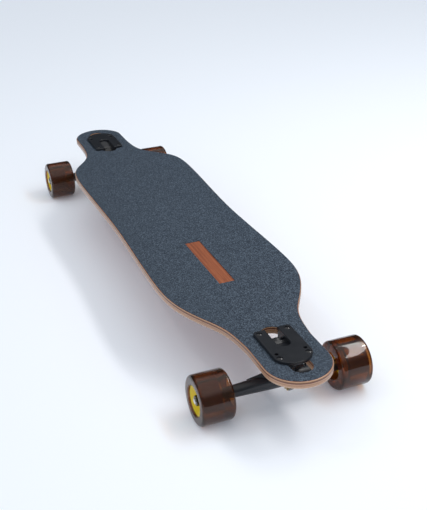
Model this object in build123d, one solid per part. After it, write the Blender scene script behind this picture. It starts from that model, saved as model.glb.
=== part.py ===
from build123d import *
from build123d.topology import SkipClean
import math
import os

# A drop-through longboard on two reverse-kingpin trucks and four soft wheels.
# The origin is on the ground under the middle of the deck, +X points to the nose,
# +Y to the rider's left when facing the nose, and +Z up. Everything is in millimetres.

# ---- driving dimensions -------------------------------------------------------------

# deck; places along it are measured back from the nose
DECK_LENGTH = 1016.0
DECK_THICKNESS = 10.5
NOSE_RADIUS = 47.0
WAIST_HALF_WIDTH = 101.8
WIDEST_BACK, WIDEST_HALF_WIDTH = 308.0, 106.8
SHOULDER_BACK, SHOULDER_HALF_WIDTH = 228.0, 97.0
FLARE_BACK, FLARE_HALF_WIDTH = 188.0, 75.3
CUT_IN_BACK, CUT_IN_HALF_WIDTH = 148.0, 54.6
NECK_BACK, NECK_HALF_WIDTH = 108.0, 48.2
PLATFORM_BACK = 168.0
FLAT_HALF_WIDTH = 28.0
CONCAVE_RISE, CONCAVE_AT, CONCAVE_SPREAD = 12.0, 110.0, 1.4
CUTOUT_HALF_WIDTH = 15.5
CUTOUT_BACK, CUTOUT_LENGTH = 18.5, 119.0

# grip tape
TAPE_THICKNESS = 1.0
TAPE_INSET = 1.6
WINDOW_BACK, WINDOW_LENGTH, WINDOW_WIDTH = 350.0, 147.0, 25.0

# where the trucks sit
PATTERN_CENTRE_BACK = 86.7
PATTERN_LENGTH, PATTERN_WIDTH = 63.5, 41.275
SPARE_LENGTH = 53.975
AXLE_BEHIND_PATTERN = 8.9
WHEEL_RADIUS = 35.0
AXLE_DROP = 58.3

# baseplate; places along it are measured from the middle of the screw pattern
PLATE_THICKNESS = 4.5
PLATE_HALF_WIDTH = 27.5
PLATE_BEHIND, PLATE_AHEAD, PLATE_END_RADIUS = 39.3, 49.5, 29.0
PLATE_CORNER, PLATE_CHAMFER = 5.0, 0.6
SLOT_HALF_WIDTH, SLOT_AHEAD = 9.5, 8.7
WEB_THICKNESS = 4.5
WEB_BEHIND = 37.3
WEB_LOWER_EDGE, WEB_DROP = 9.0, 4.0
WEB_TOE_U, WEB_KNEE_U = -16.0, 13.0
BOSS_START_U, BOSS_END_U, BOSS_THICKNESS = -13.0, 14.0, 11.5
BOSS_RADIUS, HEAD_RECESS_RADIUS, HEAD_RECESS_DEPTH = 12.5, 8.9, 4.0
END_WALL, END_WALL_DROP = 4.5, 7.5
HOUSING_RADIUS, HOUSING_WALL, HOUSING_RIM = 10.5, 2.5, 1.5
SADDLE_DEPTH, SADDLE_SLOPE = 7.0, 8.0
PLATE_SCREW_HOLE_RADIUS = 2.7

# steering geometry, along the steering axis (u) and along the kingpin (k)
STEER_ANGLE = 50.0
AXLE_ALONG_U, AXLE_ALONG_K = 26.0, 10.0

# hanger
RING_RADIUS, RING_THICKNESS, RING_HOLE_RADIUS = 17.0, 9.0, 8.5
PIVOT_RADIUS, PIVOT_LENGTH, PIVOT_ROUND = 5.5, 9.5, 1.5
PIVOT_START = 34.5
NOSE_START, NOSE_WALL = 20.0, 3.0
NECK_SHOULDER, NECK_TOP_U, NECK_HEEL_U = 3.0, 10.0, 3.0
NECK_KNEE_U, NECK_KNEE_K = 7.0, 6.0
GUSSET_ROOT_U, GUSSET_ROOT_HALF, GUSSET_TIP_HALF = 2.0, 15.0, 46.0
GUSSET_LOW, GUSSET_THICKNESS = -1.0, 7.0
HANGER_HALF_LENGTH = 90.0
ARM_END_RADIUS = 7.8

# kingpin stack
KINGPIN_RADIUS = 4.76
KINGPIN_HEAD_FLATS, KINGPIN_HEAD_HEIGHT = 14.3, 7.0
KINGPIN_NUT_FLATS, KINGPIN_NUT_HEIGHT, KINGPIN_NUT_COLLAR = 14.3, 11.6, 3.0
KINGPIN_TIP, KINGPIN_TIP_CHAMFER, CORNER_CHAMFER = 0.6, 0.4, 0.8
BUSHING_RADIUS, BUSHING_TAPER_RADIUS, BUSHING_HEIGHT = 13.3, 11.2, 14.0
BUSHING_ROUND, BUSHING_HOLE_CLEARANCE = 1.2, 0.15
BUSHING_WASHER_THICKNESS, BUSHING_WASHER_MARGIN = 2.0, 0.3
PIVOT_CUP_WALL, PIVOT_CUP_LIP = 2.3, 0.8

# axle and what is on it
AXLE_RADIUS = 3.96
AXLE_HALF_LENGTH, AXLE_TIP_CHAMFER = 124.3, 0.7
SPEED_WASHER_WALL, SPEED_WASHER_THICKNESS = 1.61, 1.0
AXLE_NUT_FLATS, AXLE_NUT_HEIGHT = 12.7, 6.6

# bearing
BEARING_OUTER_RADIUS, BEARING_WIDTH = 11.0, 7.0
BEARING_FIT = 0.04
BALL_RADIUS, BALL_COUNT = 1.98, 7
LAND_HALF_GAP = 1.4
SHIELD_THICKNESS, SHIELD_RECESS, SHIELD_GRIP = 0.35, 0.3, 0.8
CAGE_MARGIN, CAGE_THICKNESS = 0.52, 1.4
BEARING_SPACING = 10.0

# wheel
WHEEL_WIDTH = 47.4
WHEEL_LIP, MOUTH_ROUND = 4.6, 1.6
WHEEL_OFFSET_IN = 13.3
DISH_DEPTH, DISH_MOUTH_WALL, DISH_FOOT_MARGIN = 2.8, 13.0, 0.2
CORE_WALL, CORE_RIM = 10.17, 1.6
CORE_SHOULDER, CORE_BACK_STEP = 1.8, 2.0
BACK_MOUTH_WALL, BACK_MOUTH_FLARE = 5.97, 3.0

# deck hardware
SCREW_RADIUS = 2.4
SCREW_HEAD_MARGIN, SCREW_HEAD_RISE, SCREW_SINK = 2.0, 1.0, 1.9
SCREW_NUT_FLATS, SCREW_NUT_HEIGHT, SCREW_NUT_CHAMFER = 9.5, 5.0, 0.5
SCREW_TIP = 1.6
CROSS_LENGTH, CROSS_WIDTH, CROSS_DEPTH = 4.6, 0.9, 1.4

# clearances
RUNNING = 0.05
SHAFT_CLEARANCE = 0.03
HANGER_CLEARANCE = 2.4
BUSHING_SEAT_CLEARANCE = 0.8
SIDE_CLEARANCE = 0.2

# how far a cutter runs past what it cuts, and a join into what it joins
PAST = 5.0
JOIN = 1.0

# ---- sizes that follow ----------------------------------------------------------------

NOSE_X = DECK_LENGTH / 2
PATTERN_CENTRE_X = NOSE_X - PATTERN_CENTRE_BACK
AXLE_X = PATTERN_CENTRE_X - AXLE_BEHIND_PATTERN
AXLE_Z = WHEEL_RADIUS
DECK_TOP = AXLE_Z + AXLE_DROP
DECK_UNDER = DECK_TOP - DECK_THICKNESS
TAPE_TOP = DECK_TOP + TAPE_THICKNESS
PLATE_TOP = TAPE_TOP + PLATE_THICKNESS

PLATE_INNER_X = PATTERN_CENTRE_X - PLATE_BEHIND
PLATE_END_X = PATTERN_CENTRE_X + PLATE_AHEAD
SLOT_END_X = PATTERN_CENTRE_X + SLOT_AHEAD
WEB_BACK_X = PATTERN_CENTRE_X - WEB_BEHIND
WEB_OUTER_Y = SLOT_HALF_WIDTH + WEB_THICKNESS

STEER = math.radians(STEER_ANGLE)
ALONG_U = Vector(-math.cos(STEER), 0, -math.sin(STEER))
ALONG_K = Vector(math.sin(STEER), 0, -math.cos(STEER))
AXLE_CENTRE = Vector(AXLE_X, 0, AXLE_Z)
RING_CENTRE = AXLE_CENTRE - ALONG_U * AXLE_ALONG_U - ALONG_K * AXLE_ALONG_K
KINGPIN_PLANE = Plane(origin=RING_CENTRE, x_dir=ALONG_U, z_dir=ALONG_K)
STEERING_PLANE = Plane(origin=RING_CENTRE, x_dir=ALONG_K, z_dir=ALONG_U)
AXLE_PLANE = Plane(origin=AXLE_CENTRE, x_dir=(1, 0, 0), z_dir=(0, 1, 0))

CONCAVE_REACH = CONCAVE_AT - FLAT_HALF_WIDTH
CONCAVE_RADIUS = (CONCAVE_REACH ** 2 + CONCAVE_RISE ** 2) / (2 * CONCAVE_RISE)

BUSHING_START = RING_THICKNESS / 2
BUSHING_END = BUSHING_START + BUSHING_HEIGHT
WASHER_END = BUSHING_END + BUSHING_WASHER_THICKNESS
BOSS_END = WASHER_END + BOSS_THICKNESS
KINGPIN_NUT_END = WASHER_END + KINGPIN_NUT_HEIGHT

PIVOT_END = PIVOT_START + PIVOT_LENGTH
HOUSING_END = PIVOT_END + PIVOT_CUP_WALL + HOUSING_WALL
CUP_RADIUS = PIVOT_RADIUS + RUNNING + PIVOT_CUP_WALL

BEARING_INNER_RADIUS = AXLE_RADIUS + BEARING_FIT
BALL_PITCH_RADIUS = (BEARING_INNER_RADIUS + BEARING_OUTER_RADIUS) / 2
INNER_LAND_RADIUS = BALL_PITCH_RADIUS - LAND_HALF_GAP
OUTER_LAND_RADIUS = BALL_PITCH_RADIUS + LAND_HALF_GAP
SHIELD_OUTER_RADIUS = OUTER_LAND_RADIUS + SHIELD_GRIP
SPEED_WASHER_RADIUS = AXLE_RADIUS + SHAFT_CLEARANCE + SPEED_WASHER_WALL
CAGE_WIDTH = 2 * (BALL_RADIUS + CAGE_MARGIN)

BEARING_A = HANGER_HALF_LENGTH + SPEED_WASHER_THICKNESS
BEARING_B = BEARING_A + BEARING_WIDTH + BEARING_SPACING
STACK_END = BEARING_B + BEARING_WIDTH + SPEED_WASHER_THICKNESS
WHEEL_INNER_Y = BEARING_A - WHEEL_OFFSET_IN
WHEEL_OUTER_Y = WHEEL_INNER_Y + WHEEL_WIDTH
BEARING_SEAT_RADIUS = BEARING_OUTER_RADIUS + SHAFT_CLEARANCE
CORE_RADIUS = BEARING_SEAT_RADIUS + CORE_WALL
DISH_MOUTH_RADIUS = WHEEL_RADIUS - DISH_MOUTH_WALL
DISH_FOOT_RADIUS = CORE_RADIUS + DISH_FOOT_MARGIN
DISH_FOOT_Y = WHEEL_OUTER_Y - DISH_DEPTH
BACK_MOUTH_RADIUS = BEARING_SEAT_RADIUS + BACK_MOUTH_WALL
SCREW_HEAD_RADIUS = SCREW_RADIUS + SCREW_HEAD_MARGIN


# ---- shared shapes --------------------------------------------------------------------

def side_prism(points, low_y, high_y):
    """A prism whose outline is given as (x, z) and that runs from low_y to high_y."""
    corners = [(x, low_y, z) for x, z in points]
    face = make_face(Polyline(*corners, close=True))
    return extrude(face, amount=high_y - low_y, dir=(0, 1, 0))


def steer_point(u, k):
    """The (x, z) of a place given along the steering axis and along the kingpin."""
    place = RING_CENTRE + ALONG_U * u + ALONG_K * k
    return place.X, place.Z


def tube(outer, inner, start, end):
    """A ring about Z between two heights."""
    ring = Cylinder(outer, end - start, align=(Align.CENTER, Align.CENTER, Align.MIN))
    hole = Cylinder(inner, end - start, align=(Align.CENTER, Align.CENTER, Align.MIN))
    return Pos(0, 0, start) * (ring - hole)


def rod(radius, start, end):
    """A plain rod about Z between two heights."""
    length = end - start
    return Pos(0, 0, start) * Cylinder(radius, length, align=(Align.CENTER, Align.CENTER, Align.MIN))


def hexagon(flats, start, end, chamfer_size=CORNER_CHAMFER):
    """A hexagonal bar about Z with its outer corners turned off."""
    bar = extrude(RegularPolygon(flats / 2, 6, major_radius=False), amount=end - start)
    corner = flats / math.sqrt(3)
    turned = chamfer(rod(corner, 0, end - start).edges().filter_by(GeomType.CIRCLE), chamfer_size)
    return Pos(0, 0, start) * (bar & turned)


def spun(points, corner_rounds=()):
    """A solid of revolution about the wheel axis (Y), from (radius, y) points."""
    outline = make_face(Polyline(*[(r, y) for r, y in points], close=True))
    for index, size in corner_rounds:
        target = Vector(*points[index], 0)
        corner = outline.vertices().sort_by_distance(target)[0]
        outline = fillet(corner, size)
    return revolve(outline, Axis.Y)


def on_axle(shape):
    """Moves a shape made about the Y axis at the origin to the axle's line."""
    return Pos(AXLE_X, 0, AXLE_Z) * shape


def to_right(shape):
    """Turns a left-hand piece on the axle half a turn, to the right-hand end."""
    middle = Pos(AXLE_X, 0, 0)
    return middle * Rot(0, 0, 180) * middle.inverse() * shape


def to_rear(shape):
    """Turns a piece of the front truck half a turn about the board's middle."""
    return Rot(0, 0, 180) * shape


def group(*shapes):
    """Separate solids that share one node."""
    solids = [solid for shape in shapes for solid in shape.solids()]
    return Compound(children=solids)


# ---- deck and grip tape -------------------------------------------------------------------

def board_outline(inset=0.0):
    """The board's plan shape: a waist, two flares, two narrow necks and round ends."""
    half = [
        (NOSE_X - WIDEST_BACK, WIDEST_HALF_WIDTH),
        (NOSE_X - SHOULDER_BACK, SHOULDER_HALF_WIDTH),
        (NOSE_X - FLARE_BACK, FLARE_HALF_WIDTH),
        (NOSE_X - CUT_IN_BACK, CUT_IN_HALF_WIDTH),
        (NOSE_X - NECK_BACK, NECK_HALF_WIDTH),
        (NOSE_X - NOSE_RADIUS, NOSE_RADIUS),
    ]
    stations = [(-x, w) for x, w in reversed(half)] + [(0, WAIST_HALF_WIDTH)] + half
    left = Spline(*[(x, w - inset) for x, w in stations], tangents=[(1, 0), (1, 0)])
    right = mirror(left, Plane.XZ)
    tip = NOSE_X - inset
    nose = ThreePointArc(left @ 1, (tip, 0), right @ 1)
    tail = mirror(nose, Plane.YZ)
    return make_face([left, nose, right, tail])


def concave_band(low, high, length):
    """A layer of the pressed board between two heights, measured at its flat middle."""
    def side_arc(sign, level):
        radius = CONCAVE_RADIUS + DECK_TOP - level
        centre_z = DECK_TOP + CONCAVE_RADIUS
        angles = [0, reach_angle / 2, reach_angle]
        points = [
            (0, sign * (FLAT_HALF_WIDTH + radius * math.sin(a)), centre_z - radius * math.cos(a))
            for a in angles
        ]
        return ThreePointArc(*points)

    reach_angle = CONCAVE_SPREAD * math.asin(CONCAVE_REACH / CONCAVE_RADIUS)
    outline = []
    for level in (low, high):
        left, right = side_arc(1, level), side_arc(-1, level)
        outline += [left, right, Line((0, -FLAT_HALF_WIDTH, level), (0, FLAT_HALF_WIDTH, level))]
    for side in (0, 1):
        outline.append(Line(outline[side] @ 1, outline[side + 3] @ 1))
    return extrude(make_face(outline), amount=length / 2, dir=(1, 0, 0), both=True)


def through_cutouts(low, high):
    """The two obround openings that the trucks pass through."""
    middle = NOSE_X - CUTOUT_BACK - CUTOUT_LENGTH / 2
    outline = Pos(middle, 0, low) * SlotOverall(CUTOUT_LENGTH, 2 * CUTOUT_HALF_WIDTH)
    slot = extrude(outline, amount=high - low)
    return [slot, to_rear(slot)]


def screw_places():
    """The four screw centres of the front truck."""
    return [
        (PATTERN_CENTRE_X + sx * PATTERN_LENGTH / 2, sy * PATTERN_WIDTH / 2)
        for sx in (-1, 1)
        for sy in (-1, 1)
    ]


def spare_places():
    """The two holes of the shorter screw pattern, nearer the middle of the outer end."""
    x = PATTERN_CENTRE_X - PATTERN_LENGTH / 2 + SPARE_LENGTH
    return [(x, -PATTERN_WIDTH / 2), (x, PATTERN_WIDTH / 2)]


def screw_holes(low, high, radius):
    """Every drilled hole of both trucks, through a layer."""
    drills = [Pos(x, y, 0) * rod(radius, low, high) for x, y in screw_places() + spare_places()]
    return drills + [to_rear(drill) for drill in drills]


def board_layer(outline, low, high):
    """A layer of the board: the pressed band trimmed to a plan outline."""
    tall = high - low + 2 * CONCAVE_RISE + 4 * PAST
    block = extrude(Pos(0, 0, low - JOIN) * outline, amount=tall)
    return concave_band(low, high, DECK_LENGTH + 4 * PAST) & block


def make_deck():
    """The pressed plywood board, with both cut-outs and the truck holes."""
    board = board_layer(board_outline(), DECK_UNDER, DECK_TOP)
    for cutter in through_cutouts(DECK_UNDER - PAST, DECK_TOP + PAST):
        board -= cutter
    for drill in screw_holes(DECK_UNDER - PAST, DECK_TOP + PAST, PLATE_SCREW_HOLE_RADIUS):
        board -= drill
    return split_ends(board)


def split_ends(board):
    """Parts the faces of the platform from those of the truck ends, in one solid."""
    platform = Box(2 * (NOSE_X - PLATFORM_BACK), 4 * WIDEST_HALF_WIDTH, 4 * DECK_TOP)
    ends = board - platform
    with SkipClean():
        return Solid.fuse((board & platform).solid(), *ends.solids())


def make_tape():
    """The grip sheet, with a bare window and the openings of the deck."""
    sheet = board_layer(board_outline(TAPE_INSET), DECK_TOP, TAPE_TOP)
    window = Box(WINDOW_LENGTH, WINDOW_WIDTH, 2 * (TAPE_THICKNESS + PAST))
    sheet -= Pos(NOSE_X - WINDOW_BACK, 0, DECK_TOP) * window
    for cutter in through_cutouts(DECK_TOP - PAST, TAPE_TOP + PAST):
        sheet -= cutter
    for drill in screw_holes(DECK_TOP - PAST, TAPE_TOP + PAST, PLATE_SCREW_HOLE_RADIUS):
        sheet -= drill
    return sheet


# ---- baseplate ------------------------------------------------------------------------------

def plate_outline():
    """The plate seen from above: straight sides, a round outer end, a slot from the inner end."""
    centre_x = PLATE_END_X - PLATE_END_RADIUS
    shoulder_x = centre_x + math.sqrt(PLATE_END_RADIUS ** 2 - PLATE_HALF_WIDTH ** 2)
    slot_centre_x = SLOT_END_X - SLOT_HALF_WIDTH
    side = Line((shoulder_x, PLATE_HALF_WIDTH), (PLATE_INNER_X, PLATE_HALF_WIDTH))
    inner = Line((PLATE_INNER_X, PLATE_HALF_WIDTH), (PLATE_INNER_X, SLOT_HALF_WIDTH))
    slot_side = Line((PLATE_INNER_X, SLOT_HALF_WIDTH), (slot_centre_x, SLOT_HALF_WIDTH))
    left = [side, inner, slot_side]
    right = [mirror(edge, Plane.XZ) for edge in left]
    outer_end = ThreePointArc(side @ 0, (PLATE_END_X, 0), right[0] @ 0)
    slot_end = ThreePointArc(slot_side @ 1, (SLOT_END_X, 0), right[2] @ 1)
    outline = make_face([outer_end, *left, slot_end, *right])
    inner_corners = outline.vertices().group_by(Axis.X)[0]
    corners = [v for v in inner_corners if abs(v.Y) > (SLOT_HALF_WIDTH + PLATE_HALF_WIDTH) / 2]
    return fillet(corners, PLATE_CORNER)


def make_baseplate():
    """The cast baseplate: top plate, two side webs, kingpin boss and pivot housing."""
    plate = extrude(Pos(0, 0, TAPE_TOP) * plate_outline(), amount=PLATE_THICKNESS)
    top_rim = plate.faces().sort_by(Axis.Z)[-1].edges()
    plate = chamfer(top_rim, PLATE_CHAMFER)

    heel = steer_point(HOUSING_END - HOUSING_RIM, -WEB_LOWER_EDGE)
    web_outline = [
        (WEB_BACK_X, PLATE_TOP - JOIN),
        (SLOT_END_X, PLATE_TOP - JOIN),
        (SLOT_END_X, TAPE_TOP - WEB_DROP),
        steer_point(WEB_TOE_U, -WASHER_END),
        steer_point(WEB_KNEE_U, -WEB_LOWER_EDGE),
        heel,
        (WEB_BACK_X, heel[1]),
    ]
    webs = side_prism(web_outline, SLOT_HALF_WIDTH, WEB_OUTER_Y)
    webs += side_prism(web_outline, -WEB_OUTER_Y, -SLOT_HALF_WIDTH)

    boss_outline = [
        steer_point(BOSS_START_U, -WASHER_END),
        steer_point(BOSS_END_U, -WASHER_END),
        steer_point(BOSS_END_U, -BOSS_END),
        steer_point(BOSS_START_U, -BOSS_END),
    ]
    boss = side_prism(boss_outline, -WEB_OUTER_Y, WEB_OUTER_Y)
    boss += KINGPIN_PLANE * rod(BOSS_RADIUS, -BOSS_END - HEAD_RECESS_DEPTH, -WASHER_END)

    wall_outline = [
        (SLOT_END_X + END_WALL, TAPE_TOP + JOIN),
        (SLOT_END_X - END_WALL / 2, TAPE_TOP + JOIN),
        steer_point(BOSS_START_U, -WASHER_END - END_WALL_DROP),
        steer_point(BOSS_START_U + END_WALL, -WASHER_END),
        steer_point(BOSS_START_U, -WASHER_END),
    ]
    end_wall = side_prism(wall_outline, -WEB_OUTER_Y, WEB_OUTER_Y)

    housing = STEERING_PLANE * rod(HOUSING_RADIUS, PIVOT_START, HOUSING_END)
    saddle_outline = [
        steer_point(PIVOT_START, 0),
        steer_point(HOUSING_END, 0),
        steer_point(HOUSING_END, -HOUSING_RADIUS),
        steer_point(HOUSING_END - SADDLE_SLOPE, -HOUSING_RADIUS - SADDLE_DEPTH),
        steer_point(PIVOT_START, -HOUSING_RADIUS - SADDLE_DEPTH),
    ]
    saddle = side_prism(saddle_outline, -HOUSING_RADIUS, HOUSING_RADIUS)
    body = plate + webs + boss + end_wall + housing + saddle

    sweep = BUSHING_RADIUS + HANGER_CLEARANCE
    body -= KINGPIN_PLANE * rod(sweep, -WASHER_END, KINGPIN_NUT_END + PAST)
    body -= KINGPIN_PLANE * rod(KINGPIN_RADIUS + SHAFT_CLEARANCE, -BOSS_END - PAST, 0)
    recess_end = -BOSS_END - HEAD_RECESS_DEPTH - PAST
    body -= KINGPIN_PLANE * rod(HEAD_RECESS_RADIUS, recess_end, -BOSS_END)
    body -= STEERING_PLANE * rod(CUP_RADIUS + SHAFT_CLEARANCE, 0, PIVOT_END + PIVOT_CUP_WALL)
    for x, y in screw_places() + spare_places():
        body -= Pos(x, y, 0) * rod(PLATE_SCREW_HOLE_RADIUS, TAPE_TOP - PAST, PLATE_TOP + PAST)
    for x, y in screw_places():
        sink = Cone(
            SCREW_RADIUS, SCREW_HEAD_RADIUS + SHAFT_CLEARANCE, SCREW_SINK,
            align=(Align.CENTER, Align.CENTER, Align.MAX),
        )
        body -= Pos(x, y, PLATE_TOP) * sink
    return body


# ---- hanger -------------------------------------------------------------------------------

# each section of an arm: distance from the middle, shift towards the ring, and its two
# half-sizes along the steering axis and along the kingpin
ARM_SECTIONS = [
    (0.0, 3.0, 13.6, 10.8),
    (27.0, 2.4, 12.8, 10.4),
    (43.0, 1.2, 11.2, 9.6),
    (60.0, 0.2, 9.2, 8.9),
    (78.0, 0.0, 8.0, 8.0),
]


def make_arm():
    """The left arm, lofted through its sections, with a plain shoulder at its end."""
    faces = []
    for y, shift, along_u, along_k in ARM_SECTIONS:
        centre = AXLE_CENTRE - ALONG_U * shift + Vector(0, y, 0)
        faces.append(Plane(origin=centre, x_dir=ALONG_U, z_dir=(0, 1, 0)) * Ellipse(along_u, along_k))
    arm = loft(faces)
    last_y = ARM_SECTIONS[-1][0]
    return arm + AXLE_PLANE * rod(ARM_END_RADIUS, last_y - JOIN, HANGER_HALF_LENGTH)


def make_hanger():
    """The cast hanger: bushing ring, neck with two gussets, arms and pivot nose."""
    arm = make_arm()
    hanger = arm + mirror(arm, Plane.XZ)

    ring = KINGPIN_PLANE * rod(RING_RADIUS, -RING_THICKNESS / 2, RING_THICKNESS / 2)
    neck_outline = [
        steer_point(0, -RING_THICKNESS / 2),
        steer_point(AXLE_ALONG_U + NECK_HEEL_U, -RING_THICKNESS / 2),
        steer_point(AXLE_ALONG_U + NECK_KNEE_U, AXLE_ALONG_K - NECK_KNEE_K),
        steer_point(AXLE_ALONG_U, AXLE_ALONG_K + NECK_KNEE_K),
        steer_point(NECK_TOP_U, RING_THICKNESS / 2),
        steer_point(0, RING_THICKNESS / 2),
    ]
    neck = side_prism(neck_outline, NECK_SHOULDER - RING_RADIUS, RING_RADIUS - NECK_SHOULDER)
    gusset_face = make_face(Polyline(
        (GUSSET_ROOT_U, GUSSET_ROOT_HALF),
        (AXLE_ALONG_U, GUSSET_TIP_HALF),
        (AXLE_ALONG_U, -GUSSET_TIP_HALF),
        (GUSSET_ROOT_U, -GUSSET_ROOT_HALF),
        close=True,
    ))
    gusset = KINGPIN_PLANE * (Pos(0, 0, GUSSET_LOW) * extrude(gusset_face, amount=GUSSET_THICKNESS))
    nose_end = PIVOT_START - HANGER_CLEARANCE
    nose = STEERING_PLANE * rod(PIVOT_RADIUS + NOSE_WALL, NOSE_START, nose_end)
    pivot = STEERING_PLANE * rod(PIVOT_RADIUS, NOSE_START, PIVOT_END - RUNNING)
    pivot = fillet(pivot.edges().filter_by(GeomType.CIRCLE), PIVOT_ROUND)
    hanger = hanger + ring + neck + gusset + nose

    room = HOUSING_RADIUS + HANGER_CLEARANCE
    housing_room = tube(room, PIVOT_RADIUS - JOIN, nose_end + JOIN, HOUSING_END + 2 * PAST)
    hanger -= STEERING_PLANE * housing_room
    for side in (-1, 1):
        start, end = sorted((side * RING_THICKNESS / 2, side * (WASHER_END + 4 * PAST)))
        hanger -= KINGPIN_PLANE * rod(BUSHING_RADIUS + BUSHING_SEAT_CLEARANCE, start, end)
    hanger += pivot
    hanger -= KINGPIN_PLANE * rod(RING_HOLE_RADIUS, -RING_THICKNESS, RING_THICKNESS)
    bore_end = HANGER_HALF_LENGTH + PAST
    hanger -= AXLE_PLANE * rod(AXLE_RADIUS + SHAFT_CLEARANCE, -bore_end, bore_end)
    return hanger


# ---- kingpin stack ----------------------------------------------------------------------------

def make_kingpin():
    """The steering bolt, its head behind the boss and its tip at the road side."""
    shank = rod(KINGPIN_RADIUS, -BOSS_END - JOIN, KINGPIN_NUT_END + KINGPIN_TIP)
    shank = chamfer(shank.edges().group_by(Axis.Z)[-1], KINGPIN_TIP_CHAMFER)
    head = hexagon(KINGPIN_HEAD_FLATS, -BOSS_END - KINGPIN_HEAD_HEIGHT, -BOSS_END)
    return KINGPIN_PLANE * (shank + head)


def make_kingpin_nut():
    """The lock nut, hexagonal with a round collar at its outer face."""
    hole = KINGPIN_RADIUS + SHAFT_CLEARANCE
    collar_start = KINGPIN_NUT_END - KINGPIN_NUT_COLLAR
    nut = hexagon(KINGPIN_NUT_FLATS, WASHER_END, collar_start)
    nut += rod(KINGPIN_NUT_FLATS / 2 - CORNER_CHAMFER, collar_start, KINGPIN_NUT_END)
    nut -= rod(hole, WASHER_END - PAST, KINGPIN_NUT_END + PAST)
    return KINGPIN_PLANE * nut


def make_bushing(side):
    """A soft bushing: a barrel on the board side (-1), a cone on the road side (1)."""
    hole = KINGPIN_RADIUS + BUSHING_HOLE_CLEARANCE
    end_radius = BUSHING_RADIUS if side < 0 else BUSHING_TAPER_RADIUS
    bushing = Cone(BUSHING_RADIUS, end_radius, BUSHING_HEIGHT) if side > 0 else (
        Cylinder(BUSHING_RADIUS, BUSHING_HEIGHT)
    )
    rims = bushing.edges().filter_by(GeomType.CIRCLE)
    bushing = fillet(rims, BUSHING_ROUND) - Cylinder(hole, 2 * BUSHING_HEIGHT)
    return KINGPIN_PLANE * (Pos(0, 0, side * (BUSHING_START + BUSHING_HEIGHT / 2)) * bushing)


def make_bushing_washers():
    """The two cupped steel washers that back the bushings."""
    hole = KINGPIN_RADIUS + BUSHING_HOLE_CLEARANCE
    board_side = tube(BUSHING_RADIUS - BUSHING_WASHER_MARGIN, hole, -WASHER_END, -BUSHING_END)
    road_side = tube(BUSHING_TAPER_RADIUS, hole, BUSHING_END, WASHER_END)
    return group(KINGPIN_PLANE * board_side, KINGPIN_PLANE * road_side)


def make_pivot_cup():
    """The nylon cup that lines the pivot housing."""
    cup = rod(CUP_RADIUS, PIVOT_START - PIVOT_CUP_LIP, PIVOT_END + PIVOT_CUP_WALL)
    cup -= rod(PIVOT_RADIUS + RUNNING, PIVOT_START - PAST, PIVOT_END)
    return STEERING_PLANE * cup


# ---- axle, nuts, washers and bearings -----------------------------------------------------------

def about_y(shape):
    """Lays a shape made about Z along Y, so that heights become distances to the left."""
    return Rot(-90, 0, 0) * shape


def both_ends(shape):
    """A left-hand piece and its right-hand twin, on the axle, as one node."""
    left = on_axle(about_y(shape))
    return group(left, to_right(left))


def make_axle():
    """The steel axle, one rod through the hanger."""
    bar = rod(AXLE_RADIUS, -AXLE_HALF_LENGTH, AXLE_HALF_LENGTH)
    bar = chamfer(bar.edges().filter_by(GeomType.CIRCLE), AXLE_TIP_CHAMFER)
    return on_axle(about_y(bar))


def make_axle_nuts():
    """The two lock nuts at the ends of the axle."""
    end = STACK_END + AXLE_NUT_HEIGHT
    nut = hexagon(AXLE_NUT_FLATS, STACK_END, end)
    nut -= rod(AXLE_RADIUS + SHAFT_CLEARANCE, STACK_END - PAST, end + PAST)
    return both_ends(nut)


def make_speed_washers():
    """Thin washers that keep the wheel clear of the hanger and of the nut."""
    starts = (HANGER_HALF_LENGTH, BEARING_B + BEARING_WIDTH)
    hole = AXLE_RADIUS + SHAFT_CLEARANCE
    rings = [tube(SPEED_WASHER_RADIUS, hole, s, s + SPEED_WASHER_THICKNESS) for s in starts]
    return both_ends(group(*rings))


def make_bearing_spacers():
    """The sleeves that hold the two inner rings of a wheel apart."""
    hole = AXLE_RADIUS + SHAFT_CLEARANCE
    return both_ends(tube(SPEED_WASHER_RADIUS, hole, BEARING_A + BEARING_WIDTH, BEARING_B))


def race_groove(centre_y):
    """The torus that both races are ground to."""
    return Pos(0, 0, centre_y) * Torus(BALL_PITCH_RADIUS, BALL_RADIUS + RUNNING)


def bearing_middles():
    """The middle of each of a wheel's two bearings, along the axle."""
    return [start + BEARING_WIDTH / 2 for start in (BEARING_A, BEARING_B)]


def make_inner_rings():
    """The four inner rings of a truck, clamped on the axle."""
    rings = []
    for middle in bearing_middles():
        start, end = middle - BEARING_WIDTH / 2, middle + BEARING_WIDTH / 2
        ring = tube(INNER_LAND_RADIUS, BEARING_INNER_RADIUS, start, end)
        rings.append(ring - race_groove(middle))
    return both_ends(group(*rings))


def make_outer_rings():
    """The two outer rings of one wheel, pressed into its core."""
    rings = []
    for middle in bearing_middles():
        start, end = middle - BEARING_WIDTH / 2, middle + BEARING_WIDTH / 2
        ring = tube(BEARING_OUTER_RADIUS, OUTER_LAND_RADIUS, start, end)
        ring -= race_groove(middle)
        step = SHIELD_RECESS + SHIELD_THICKNESS
        ring -= rod(SHIELD_OUTER_RADIUS + SHAFT_CLEARANCE, start - PAST, start + step)
        ring -= rod(SHIELD_OUTER_RADIUS + SHAFT_CLEARANCE, end - step, end + PAST)
        rings.append(ring)
    return on_axle(about_y(group(*rings)))


def make_shields():
    """The thin shields that close both faces of each bearing."""
    shields = []
    hole = INNER_LAND_RADIUS + SIDE_CLEARANCE
    for middle in bearing_middles():
        for side in (-1, 1):
            face = middle + side * (BEARING_WIDTH / 2 - SHIELD_RECESS - SHIELD_THICKNESS / 2)
            low, high = face - SHIELD_THICKNESS / 2, face + SHIELD_THICKNESS / 2
            shields.append(tube(SHIELD_OUTER_RADIUS, hole, low, high))
    return on_axle(about_y(group(*shields)))


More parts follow.
